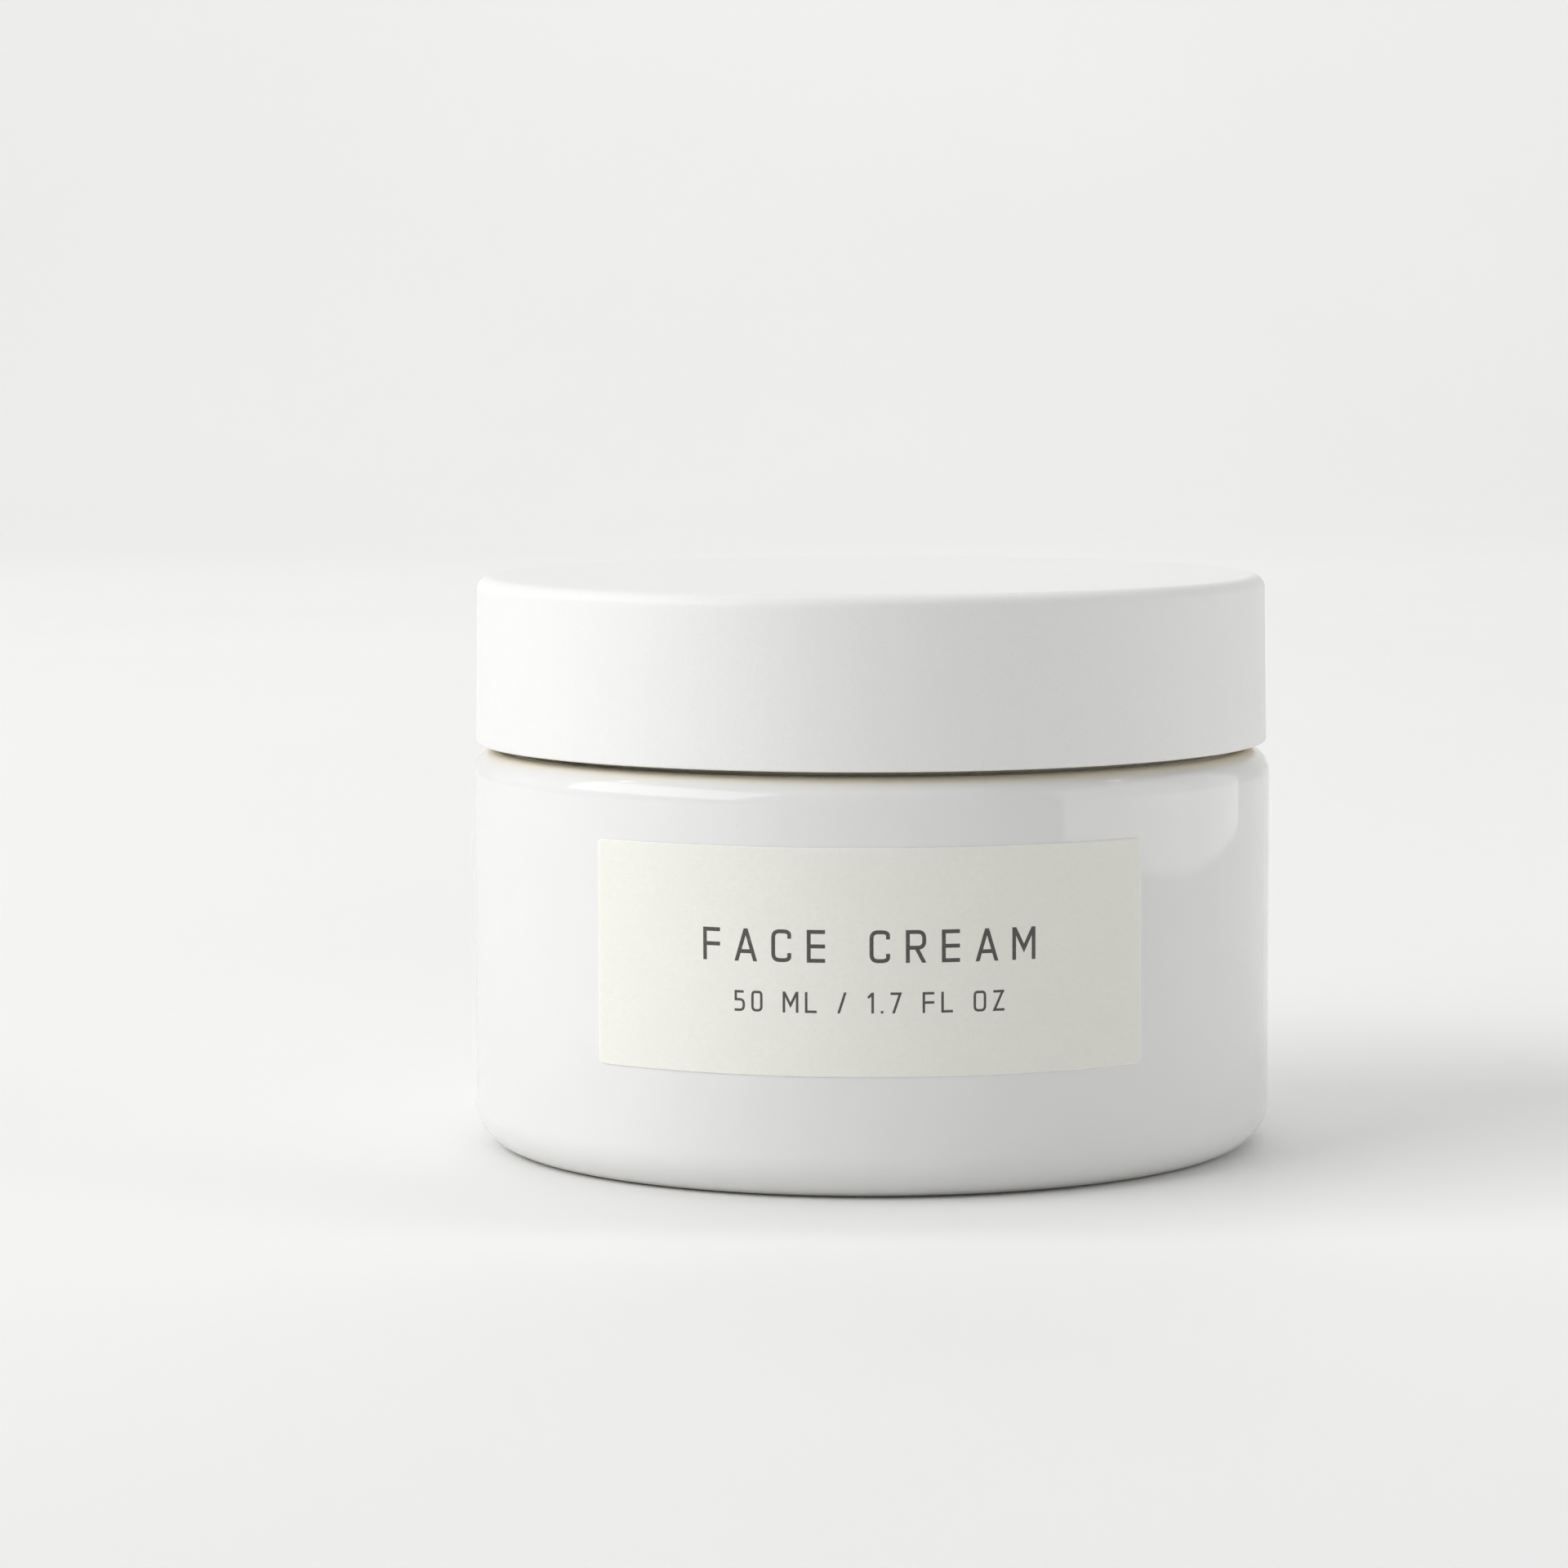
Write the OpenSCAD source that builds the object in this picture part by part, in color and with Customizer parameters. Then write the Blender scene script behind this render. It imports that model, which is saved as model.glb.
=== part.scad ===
// Cosmetic cream jar. A thick glazed jar holds a refill cup, which lifts straight out of
// it. A wide, low lid screws onto the cup's neck: a matt shell over a threaded insert.
// +Z is up, the origin is at the centre of the foot, and the front label faces -Y.

/* [Jar] */
// Outside diameter of the jar
jar_d = 65; // [60:0.5:80]
// Height of the jar, from its foot to its mouth
jar_h = 32.4; // [31:0.1:60]
// Thickness of the jar's wall
jar_wall = 4.5; // [4.2:0.1:5]
// Thickness of the jar's floor, from the foot up
jar_floor = 5; // [4:0.1:7]
// Radius of the heel, between the wall and the foot
heel_r = 3.5; // [2:0.1:4]
// Radius of the shoulder, around the mouth
shoulder_r = 2.1; // [1:0.1:2.4]
// Depth of the hollow under the foot
foot_hollow = 1; // [0.6:0.1:1.5]

/* [Lid] */
// Height of the lid
lid_h = 13.45; // [13:0.05:20]
// Open joint between the lid and the jar
lid_gap = 0.5; // [0.4:0.05:0.7]
// How far the lid's side stands in from the jar's side
lid_inset = 0.3; // [0:0.05:0.5]
// How much narrower the lid's radius is at its top than at its lower edge
lid_draft = 0.15; // [0:0.05:0.3]
// Rounding of the lid's top edge
lid_edge_r = 1.1; // [0.5:0.1:1.4]
// Thickness of the lid shell's side
shell_wall = 1.7; // [1.4:0.1:1.8]
// Thickness of the lid shell's top
shell_top = 1.5; // [1.2:0.1:2]

/* [Refill cup] */
// Thickness of the cup's wall
cup_wall = 1.6; // [1.2:0.1:1.8]
// Thickness of the cup's floor
cup_floor = 1.6; // [1:0.1:2.5]
// Space between the cup and the jar's floor
cup_lift_gap = 1; // [0.5:0.1:2]
// Inside radius around the cup's floor
cup_heel = 6; // [3:0.5:8]

/* [Thread] */
// Number of thread starts around the neck
thread_starts = 3; // [2:1:4]
// How far the lid rises in one full turn
thread_lead = 12; // [10:0.5:13]
// How far a thread ridge stands out
thread_reach = 1; // [0.7:0.05:1]
// Angle that each ridge covers
thread_sweep = 150; // [90:10:160]

/* [Labels] */
// Angle that the front label covers around the jar
label_angle = 80.5; // [40:0.5:120]
// Height of the front label
label_h = 17.5; // [8:0.5:20]
// Height of the front label's lower edge above the foot
label_z = 9.7; // [6:0.1:10]
// Corner radius of the front label
label_corner = 0.5; // [0.2:0.1:2]
// Thickness of the label paper with its adhesive
label_t = 0.12; // [0.05:0.01:0.3]

/* [Hidden] */
$fn = 96;
over = 1;               // how far a cutting shape runs past the face that it cuts

// Jar
jar_r = jar_d / 2;
bore_r = jar_r - jar_wall;
foot_out_r = jar_r - heel_r;
foot_in_r = foot_out_r - 4;
foot_edge_r = 0.8;

// Collar, bonded into the jar's mouth
collar_seat = 1;        // thickness of its flange, let into the mouth
collar_flange_r = bore_r + 1.5;
collar_fit = 0.05;      // film of adhesive around it
collar_wall = 1.5;
collar_depth = 9;
collar_bore_r = bore_r - collar_fit - collar_wall;

// Cup, hung in the collar by its flange
cup_r = collar_bore_r - 1.25;
cup_in_r = cup_r - cup_wall;
cup_z = jar_floor + cup_lift_gap;
flange_t = 0.8;
flange_r = bore_r + 1.3;
neck_r = collar_bore_r + 0.55;
neck_in_r = neck_r - 2.2;
rim_z = jar_h + lid_gap + lid_h - shell_top - 2.05;
ledge_depth = 1.6;      // how far below the rim the sealing disc sits
ledge_r = neck_r - 1.2;

// Ring groove around the cup, and the keys that stop the cup turning with the lid
ring_r = 0.6;
ring_z = jar_h - 4.9;
rib_t = 0.8;
rib_r = collar_bore_r - 0.3;
key_count = 3;
key_w = 5;
key_h = 2.1;
key_reach = collar_bore_r + 0.85;
key_play = 0.15;

// Lid
lid_z = jar_h + lid_gap;
lid_top_z = lid_z + lid_h;
lid_r = jar_r - lid_inset;
lid_low_edge = 0.15;
shell_in_r = lid_r - shell_wall;
shell_in_z = lid_top_z - shell_top;
snap_reach = 0.4;       // bead inside the shell that holds the insert up
snap_z = lid_z + 0.25;
snap_t = 0.4;
insert_z = snap_z + snap_t + 0.05;
insert_in_r = neck_r + thread_reach + 0.35;
insert_r = insert_in_r + 1.5;
insert_top = 1.05;
insert_rib_r = shell_in_r - 0.05;
insert_rib_w = 0.9;
insert_rib_count = 24;
bead_reach = 0.8;       // bead inside the insert that keeps the liner in
liner_r = insert_in_r - 0.45;
liner_z = rim_z + 0.05;
liner_t = 0.9;

// Thread: ridges of both parts lie on one helix family, a little apart
ridge_base = 0.9;       // half of a ridge's height at its root
ridge_crest = 0.45;     // half of a ridge's height at its crest
ridge_sink = 0.3;       // how deep its root is let into the wall
ridge_taper = 14;       // angle over which each end fades into the wall
ridge_step = 6;         // angle between the ridge's sections
neck_thread_z = jar_h + flange_t + 2.3;
lid_thread_drop = 1.5;  // how far the lid's ridges lie below the neck's

// Sealing disc
disc_rim_t = 0.9;
disc_r = ledge_r - 0.3;
dish_r = neck_in_r - 0.4;
dish_depth = 1.8;
dish_t = 0.8;
tab_w = 14;
tab_l = 9;
tab_t = 0.7;

// Half of a turned outline: a block out to radius r, rounded at its outer corners.
module block(r, z0, z1, low = 0, high = 0) {
    translate([0, z0 + low]) square([r, z1 - z0 - low - high]);
    if (low > 0) {
        translate([0, z0]) square([r - low, low]);
        translate([r - low, z0 + low]) circle(r = low);
    }
    if (high > 0) {
        translate([0, z1 - high]) square([r - high, high]);
        translate([r - high, z1 - high]) circle(r = high);
    }
}

// What is taken off an inner corner at (r, 0) to round it.
module corner_cut(r, round_r) {
    difference() {
        translate([r - over, -over]) square([round_r + over, round_r + over]);
        translate([r + round_r, round_r]) circle(r = round_r);
    }
}

// How much of its height a ridge has at angle a: it starts and ends just under the wall.
function ridge_share(a, sweep) = min(1, min(a, sweep - a) / ridge_taper * 1.2 - 0.2);

// One section of a ridge, as four points from its lower root to its upper root.
function ridge_section(r, reach, z, a, sweep) =
    let (root = r - sign(reach) * ridge_sink, crest = r + reach * ridge_share(a, sweep))
    let (c = cos(a), s = sin(a), mid = z + thread_lead * a / 360)
    [[root * c, root * s, mid - ridge_base], [crest * c, crest * s, mid - ridge_crest],
     [crest * c, crest * s, mid + ridge_crest], [root * c, root * s, mid + ridge_base]];

// A helical ridge on the wall of radius r. It points inwards where reach is negative.
module ridge(r, reach, z, sweep) {
    steps = ceil(sweep / ridge_step);
    points = [for (i = [0:steps]) each ridge_section(r, reach, z, sweep * i / steps, sweep)];
    last = 4 * steps;
    sides = [for (i = [0:steps - 1]) for (k = [0:3])
             [4 * i + k, 4 * i + 4 + k, 4 * i + 4 + (k + 1) % 4, 4 * i + (k + 1) % 4]];
    ends = [[0, 1, 2, 3], [last + 3, last + 2, last + 1, last]];
    faces = concat(sides, ends);
    polyhedron(points, reach < 0 ? faces : [for (f = faces) [f[3], f[2], f[1], f[0]]]);
}

// All the ridges of a thread, spread around the axis. Half a step of turn keeps their
// sections off the line where a turned wall closes on itself.
module thread(r, reach, z) {
    for (i = [0:thread_starts - 1])
        rotate(i * 360 / thread_starts + ridge_step / 2)
            ridge(r, reach, z, thread_sweep);
}

// Thick glazed jar, with a straight bore, a let-in mouth and a hollow foot.
module outer_jar() {
    color([0.93, 0.94, 0.94])
        rotate_extrude()
            difference() {
                block(jar_r, 0, jar_h, heel_r, shoulder_r);
                block(bore_r, jar_floor, jar_h + over, 3);
                block(collar_flange_r + 0.1, jar_h - collar_seat, jar_h + over);
                block(foot_in_r, -over, foot_hollow, 0, foot_hollow / 2);
                corner_cut(foot_in_r, foot_edge_r);
            }
}

// Moulded collar in the jar's mouth. Its notches take the cup's keys.
module cup_collar() {
    color([0.86, 0.86, 0.83])
        difference() {
            rotate_extrude()
                difference() {
                    union() {
                        block(bore_r - collar_fit, jar_h - collar_depth, jar_h, 0.3);
                        block(collar_flange_r, jar_h - collar_seat, jar_h);
                    }
                    block(collar_bore_r, jar_h - collar_depth - over, jar_h + over);
                }
            for (i = [0:key_count - 1])
                rotate(i * 360 / key_count)
                    translate([0, -key_w / 2 - key_play, jar_h - key_h - key_play])
                        cube([key_reach + key_play, key_w + 2 * key_play, key_h + over]);
        }
}

// Inside of the refill cup: a round-bottomed well, widening into the neck.
module cup_cavity() {
    block(cup_in_r, cup_z + cup_floor, rim_z, cup_heel);
    polygon([[0, jar_h - 3], [cup_in_r, jar_h - 3], [neck_in_r, jar_h + 0.5],
             [neck_in_r, rim_z + over], [0, rim_z + over]]);
    block(ledge_r, rim_z - ledge_depth, rim_z + over);
}

// Refill cup that holds the cream, with the threaded neck, and the flange it hangs by.
module refill_cup() {
    color([0.95, 0.95, 0.93])
        union() {
            rotate_extrude()
                difference() {
                    union() {
                        block(cup_r, cup_z, jar_h, cup_heel + cup_wall);
                        block(neck_r, jar_h, rim_z, 0, 0.4);
                        block(flange_r, jar_h, jar_h + flange_t, 0, 0.2);
                        block(rib_r, ring_z - ring_r - 0.1 - rib_t, ring_z - ring_r - 0.1);
                        block(rib_r, ring_z + ring_r + 0.1, ring_z + ring_r + 0.1 + rib_t);
                    }
                    cup_cavity();
                }
            for (i = [0:key_count - 1])
                rotate(i * 360 / key_count)
                    translate([cup_r - 0.5, -key_w / 2, jar_h - key_h])
                        cube([key_reach - cup_r + 0.5, key_w, key_h]);
            thread(neck_r, thread_reach, neck_thread_z);
        }
}

// Soft ring in the cup's groove, which grips the collar and stops the cup rattling.
module cup_ring() {
    color([0.8, 0.8, 0.78])
        rotate_extrude()
            translate([collar_bore_r - 0.05 - ring_r, ring_z])
                circle(r = ring_r);
}

// Dished disc on the ledge in the neck, with a tongue to lift it by.
module sealing_disc() {
    rim_low = rim_z - ledge_depth;
    dish_z = rim_low - dish_depth;
    color([0.92, 0.93, 0.92])
        union() {
            rotate_extrude() {
                difference() {
                    union() {
                        block(disc_r, rim_low, rim_low + disc_rim_t, 0, 0.3);
                        block(dish_r, dish_z, rim_low + disc_rim_t / 2, 0.6);
                    }
                    block(dish_r - dish_t, dish_z + dish_t, rim_z, 0.3);
                }
            }
            translate([-tab_w / 2, 2 - tab_l, dish_z + dish_t + 0.6])
                cube([tab_w, tab_l, tab_t]);
            translate([-tab_w / 2, 2 - 1.4, dish_z + dish_t - 0.2])
                cube([tab_w, 1.4, 0.9]);
        }
}

// Foam liner that closes on the rim of the cup. It lies loose in the insert.
module lid_liner() {
    color([0.97, 0.97, 0.97])
        rotate_extrude()
            block(liner_r, liner_z, liner_z + liner_t, 0.2, 0.2);
}

// Threaded insert of the lid, with ribs that grip the shell.
module lid_insert() {
    plate_z = shell_in_z - insert_top;
    color([0.94, 0.94, 0.92])
        union() {
            rotate_extrude()
                difference() {
                    union() {
                        block(insert_r, insert_z, shell_in_z, 0, 0.5);
                        block(insert_rib_r, insert_z, insert_z + 0.9, 0, 0.3);
                    }
                    difference() {
                        block(insert_in_r, insert_z - over, plate_z);
                        translate([insert_in_r - bead_reach, liner_z - 0.6])
                            square([bead_reach + over, 0.5]);
                    }
                }
            for (i = [0:insert_rib_count - 1])
                rotate((i + 0.5) * 360 / insert_rib_count)
                    translate([insert_r - 0.3, -insert_rib_w / 2, insert_z + 0.5])
                        cube([insert_rib_r - insert_r + 0.25, insert_rib_w, lid_h - 5]);
            rotate(thread_sweep / 4)
                thread(insert_in_r, -thread_reach, neck_thread_z - lid_thread_drop
                       + thread_lead * thread_sweep / 4 / 360);
        }
}

// Matt outer shell of the lid, with a bead that snaps under the insert.
module lid_shell() {
    top_r = lid_r - lid_draft;
    color([0.95, 0.95, 0.94])
        rotate_extrude()
            difference() {
                union() {
                    polygon([[0, lid_z], [lid_r - lid_low_edge, lid_z],
                             [lid_r, lid_z + lid_low_edge], [top_r, lid_top_z - lid_edge_r],
                             [0, lid_top_z - lid_edge_r]]);
                    block(top_r, lid_top_z - 2 * lid_edge_r, lid_top_z, 0, lid_edge_r);
                }
                difference() {
                    block(shell_in_r, lid_z - over, shell_in_z, 0, 0.4);
                    translate([shell_in_r - snap_reach, snap_z])
                        square([snap_reach + over, snap_t]);
                }
            }
}

// Blank paper label, bent around the front of the jar.
module front_label() {
    half_w = jar_r * sin(label_angle / 2);
    color([0.95, 0.94, 0.9])
        intersection() {
            rotate_extrude()
                translate([jar_r, label_z])
                    square([label_t, label_h]);
            rotate([90, 0, 0])
                linear_extrude(jar_r + over)
                    union() {
                        translate([-half_w + label_corner, label_z])
                            square([2 * (half_w - label_corner), label_h]);
                        translate([-half_w, label_z + label_corner])
                            square([2 * half_w, label_h - 2 * label_corner]);
                        for (x = [-1, 1])
                            for (z = [label_corner, label_h - label_corner])
                                translate([x * (half_w - label_corner), label_z + z])
                                    circle(r = label_corner);
                    }
        }
}

// Blank round label in the hollow of the foot, for the batch code and the contents.
module base_label() {
    color([0.96, 0.96, 0.95])
        translate([0, 0, foot_hollow - label_t])
            cylinder(r = foot_in_r - 2.5, h = label_t);
}

outer_jar();
cup_collar();
refill_cup();
cup_ring();
sealing_disc();
lid_liner();
lid_insert();
lid_shell();
front_label();
base_label();
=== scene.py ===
"""Cosmetic cream jar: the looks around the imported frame. Metres, +Z up, label facing -Y."""

import math

import bmesh
import bpy
from mathutils import Matrix, Vector


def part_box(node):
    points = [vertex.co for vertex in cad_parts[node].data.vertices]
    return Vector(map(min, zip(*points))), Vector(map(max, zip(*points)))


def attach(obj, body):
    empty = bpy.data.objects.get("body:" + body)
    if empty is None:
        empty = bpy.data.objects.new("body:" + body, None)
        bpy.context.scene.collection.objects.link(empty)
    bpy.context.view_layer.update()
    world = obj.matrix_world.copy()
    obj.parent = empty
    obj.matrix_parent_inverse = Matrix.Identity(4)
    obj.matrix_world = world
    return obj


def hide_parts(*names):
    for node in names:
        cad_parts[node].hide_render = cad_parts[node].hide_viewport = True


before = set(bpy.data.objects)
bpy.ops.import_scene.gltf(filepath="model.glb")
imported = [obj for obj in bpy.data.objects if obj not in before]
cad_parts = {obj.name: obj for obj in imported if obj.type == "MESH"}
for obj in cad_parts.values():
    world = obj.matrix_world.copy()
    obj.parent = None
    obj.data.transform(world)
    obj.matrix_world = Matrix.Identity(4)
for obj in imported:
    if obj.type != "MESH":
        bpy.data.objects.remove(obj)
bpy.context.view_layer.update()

MM = 0.001
COLUMNS = 240               # faces around a turned piece

# Sizes read from the frame
jar_r, jar_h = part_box("outer_jar")[1].x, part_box("outer_jar")[1].z
lid_low, lid_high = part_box("lid_shell")
lid_r = lid_high.x
collar_low, collar_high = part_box("cup_collar")
cup_low, cup_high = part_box("refill_cup")
ring_low, ring_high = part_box("cup_ring")
disc_low, disc_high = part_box("sealing_disc")
liner_low, liner_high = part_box("lid_liner")
insert_low, insert_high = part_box("lid_insert")
label_low, label_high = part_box("front_label")
base_low, base_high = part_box("base_label")

# Sizes inside the jar, which the frame's boxes don't give
WALL = 4.5 * MM
FLOOR = 5 * MM
HEEL = 3.5 * MM
SHOULDER = 2.1 * MM
FOOT_RING = 4 * MM          # width of the ring that the jar stands on
SEAT = 1 * MM               # thickness of the collar's flange
COLLAR_WALL = 1.5 * MM
FLANGE = 0.8 * MM
CUP_WALL = 1.6 * MM
CUP_HEEL = 6 * MM
NECK_WALL = 2.2 * MM
LEDGE = 1.6 * MM            # how far below the rim the sealing disc sits
RIB = 0.8 * MM
KEY_WIDTH = 5 * MM
KEY_HEIGHT = 2.1 * MM
KEY_PLAY = 0.15 * MM
DISH = 1.8 * MM
LID_EDGE = 1.1 * MM
LID_DRAFT = 0.15 * MM
SHELL_WALL = 1.7 * MM
SHELL_TOP = 1.5 * MM
INSERT_WALL = 1.5 * MM
INSERT_TOP = 1.05 * MM

bore_r = jar_r - WALL
collar_bore_r = bore_r - 0.05 * MM - COLLAR_WALL
cup_r = collar_bore_r - 1.25 * MM
neck_r = collar_bore_r + 0.55 * MM
key_r = collar_bore_r + 0.85 * MM
insert_in_r = neck_r + 1.35 * MM

# Thread: three starts of one helix family, as in the frame
STARTS = 3
LEAD = 12 * MM
REACH = 1 * MM
SWEEP = 150
TAPER = 14
THREAD_TURN = 3             # degrees from +X to the first start
ROOT, CREST = 0.9 * MM, 0.45 * MM
neck_thread_z = jar_h + FLANGE + 2.3 * MM
LID_TURN = SWEEP / 4        # degrees that the lid's ridges are turned on by
LID_DROP = 1.5 * MM         # how far they lie below the neck's


# ---------------------------------------------------------------- mesh helpers

def arc(r, z, radius, start, end, steps=8):
    """Points (r, z) of an arc around (r, z). Angle 0 points outwards and 90 up."""
    angles = [math.radians(start + (end - start) * i / steps) for i in range(steps + 1)]
    return [(r + radius * math.cos(a), z + radius * math.sin(a)) for a in angles]


def steps_between(low, high, size):
    """Evenly spaced values from low to high, about size apart."""
    count = max(1, round(abs(high - low) / size))
    return [low + (high - low) * i / count for i in range(count + 1)]


def finish_mesh(name, verts, faces, smooth=True):
    """A new object of these vertices and faces, with its normals facing out."""
    mesh = bpy.data.meshes.new(name)
    mesh.from_pydata(verts, [], faces)
    work = bmesh.new()
    work.from_mesh(mesh)
    bmesh.ops.recalc_face_normals(work, faces=work.faces)
    work.to_mesh(mesh)
    work.free()
    mesh.polygons.foreach_set("use_smooth", [smooth] * len(mesh.polygons))
    piece = bpy.data.objects.new(name, mesh)
    bpy.context.scene.collection.objects.link(piece)
    return piece


def turned(name, outline, loop=False, shape=None, angles=None):
    """A turned piece. outline is (r, z) points, closed on itself where loop is true.
    shape(r, z, angle) may move a point's radius; angle 0 is the front, in radians."""
    if angles is None:
        angles = [2 * math.pi * i / COLUMNS for i in range(COLUMNS)]
    verts, rings = [], []
    for r, z in outline:
        first = len(verts)
        if r < 1e-7:
            verts.append((0, 0, z))
            rings.append([first] * len(angles))
            continue
        for a in angles:
            here = shape(r, z, a) if shape else r
            verts.append((here * math.sin(a), -here * math.cos(a), z))
        rings.append(list(range(first, len(verts))))
    pairs = list(zip(rings, rings[1:]))
    if loop:
        pairs.append((rings[-1], rings[0]))
    faces = []
    for low, high in pairs:
        for i in range(len(angles)):
            k = (i + 1) % len(angles)
            corners = [low[i], low[k], high[k], high[i]]
            face = [c for n, c in enumerate(corners) if c != corners[n - 1]]
            if len(face) > 2:
                faces.append(face)
    piece = finish_mesh(name, verts, faces)
    weighted = piece.modifiers.new("even_shading", "WEIGHTED_NORMAL")
    weighted.mode = "FACE_AREA"
    weighted.keep_sharp = True
    return piece


def ridge_height(angle, z, start_z, turn):
    """How far a thread ridge stands out at this angle and height."""
    theta = math.degrees(angle) - 90 - THREAD_TURN - turn
    best = 0
    for start in range(STARTS):
        along = (theta - start * 360 / STARTS) % 360
        if along > SWEEP:
            continue
        off = abs(z - start_z - LEAD * along / 360)
        flank = min(1, max(0, (ROOT - off) / (ROOT - CREST)))
        share = min(1, min(along, SWEEP - along) / TAPER)
        best = max(best, flank * flank * (3 - 2 * flank) * share)
    return REACH * best


def stand_for(piece, node, body):
    """Puts a piece on a body and hides the CAD node that it stands in for."""
    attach(piece, body)
    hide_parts(node)
    return piece


# ---------------------------------------------------------------- materials

class Graph:
    """A material's node tree, with one Principled shader."""

    def __init__(self, name):
        self.material = bpy.data.materials.new(name)
        self.material.use_nodes = True
        self.tree = self.material.node_tree
        self.shader = self.tree.nodes["Principled BSDF"]
        self.place = self.add("ShaderNodeTexCoord").outputs["Object"]

    def add(self, kind, inputs=None, **settings):
        """A node with its settings, and its inputs set or linked."""
        node = self.tree.nodes.new(kind)
        for key, value in settings.items():
            setattr(node, key, value)
        for key, value in (inputs or {}).items():
            self.put(node.inputs[key], value)
        return node

    def put(self, socket, value):
        """Links a socket to an output, or sets it to a value."""
        if isinstance(value, bpy.types.NodeSocket):
            self.tree.links.new(value, socket)
        else:
            socket.default_value = value

    def noise(self, scale, detail=2.0, place=None):
        """Noise of about 1/scale metres, from 0 to 1."""
        node = self.add("ShaderNodeTexNoise", {"Vector": place or self.place,
                                               "Scale": scale, "Detail": detail})
        return node.outputs["Fac"]

    def stretched(self, x, y, z):
        """The piece's own coordinates, scaled along each axis."""
        return self.add("ShaderNodeMapping", {"Vector": self.place,
                                              "Scale": (x, y, z)}).outputs["Vector"]

    def spread(self, value, low, high, start=0.0, end=1.0):
        """value from start to end, mapped to low to high and clamped."""
        node = self.add("ShaderNodeMapRange", {"Value": value, "From Min": start,
                                               "From Max": end, "To Min": low,
                                               "To Max": high})
        return node.outputs["Result"]

    def calc(self, kind, a, b=0.0):
        """A sum of one kind on one or two values."""
        return self.add("ShaderNodeMath", {0: a, 1: b}, operation=kind).outputs[0]

    def mix(self, share, a, b):
        """Colour a where share is 0 and b where it is 1."""
        node = self.add("ShaderNodeMix", data_type="RGBA")
        for socket, value in zip((node.inputs[0], node.inputs[6], node.inputs[7]),
                                 (share, a, b)):
            self.put(socket, value)
        return node.outputs[2]

    def bump(self, height, distance, under=None):
        """A bump normal. distance is the height in metres of a full step."""
        inputs = {"Height": height, "Distance": distance, "Strength": 1.0}
        if under is not None:
            inputs["Normal"] = under
        return self.add("ShaderNodeBump", inputs).outputs["Normal"]

    def finish(self, color, roughness, normal=None, **plain):
        """Sets the shader. plain holds sockets that are the same all over."""
        self.put(self.shader.inputs["Base Color"], color)
        self.put(self.shader.inputs["Roughness"], roughness)
        if normal is not None:
            self.put(self.shader.inputs["Normal"], normal)
        for key, value in plain.items():
            self.shader.inputs[key.replace("_", " ")].default_value = value
        return self.material


def rgb(r, g, b):
    """A colour with full alpha."""
    return (r, g, b, 1.0)


def glaze():
    """White glaze over a bare foot ring: slow ripples, faint clouds, rare specks and a warm
    top edge that is partly painted shade.
    """
    g = Graph("white_glaze")
    clouds = g.spread(g.noise(55, 3), 0, 1, 0.3, 0.7)
    color = g.mix(clouds, rgb(0.771, 0.771, 0.768), rgb(0.796, 0.797, 0.795))
    cells = g.add("ShaderNodeTexVoronoi", {"Vector": g.place, "Scale": 700.0})
    speck = g.spread(cells.outputs["Distance"], 1, 0, 0.05, 0.09)
    rare = g.spread(g.noise(260), 0, 1, 0.62, 0.66)
    color = g.mix(g.calc("MULTIPLY", speck, rare), color, rgb(0.745, 0.74, 0.725))
    height = g.add("ShaderNodeSeparateXYZ", {0: g.place}).outputs["Z"]
    # Painted warm shade: the top 0.6 mm of the glaze, which lies in the gap under the lid, is
    # tinted warm. Partly it is the clay's tone where the glaze runs out at the edge.
    thin = g.spread(height, 0, 0.8, jar_h - 0.6 * MM, jar_h - 0.02 * MM)
    color = g.mix(thin, color, rgb(0.86, 0.82, 0.68))
    edge = g.calc("ADD", height, g.spread(g.noise(500), -0.05 * MM, 0.05 * MM))
    bare = g.spread(edge, 1, 0, 0.28 * MM, 0.34 * MM)
    clay = g.mix(g.noise(2500, 3), rgb(0.66, 0.62, 0.55), rgb(0.78, 0.75, 0.69))
    color = g.mix(bare, color, clay)
    gloss = g.spread(g.noise(300, 3), 0.03, 0.06, 0.3, 0.7)
    rough = g.add("ShaderNodeMix", {0: bare, 2: gloss, 3: 0.85}).outputs[0]
    ripple = g.bump(g.noise(70, 2), 0.05 * MM)
    fine = g.bump(g.noise(900, 2), 0.0015 * MM, ripple)
    grain = g.calc("MULTIPLY", g.noise(6000, 2), bare)
    return g.finish(color, rough, g.bump(grain, 0.03 * MM, fine), IOR=1.52)


def bare_parts(g):
    """Masks of the lid's inside and lower edge, which the outer coat doesn't reach."""
    xyz = g.add("ShaderNodeSeparateXYZ", {0: g.place}).outputs
    out = g.calc("SQRT", g.calc("ADD", g.calc("MULTIPLY", xyz["X"], xyz["X"]),
                                g.calc("MULTIPLY", xyz["Y"], xyz["Y"])))
    deep = g.calc("MULTIPLY", g.spread(out, 1, 0, lid_r - 0.6 * MM, lid_r - 0.5 * MM),
                  g.spread(xyz["Z"], 1, 0, lid_high.z - 0.6 * MM, lid_high.z - 0.5 * MM))
    return deep, g.spread(xyz["Z"], 1, 0, lid_low.z + 0.05 * MM, lid_low.z + 0.09 * MM)


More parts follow.
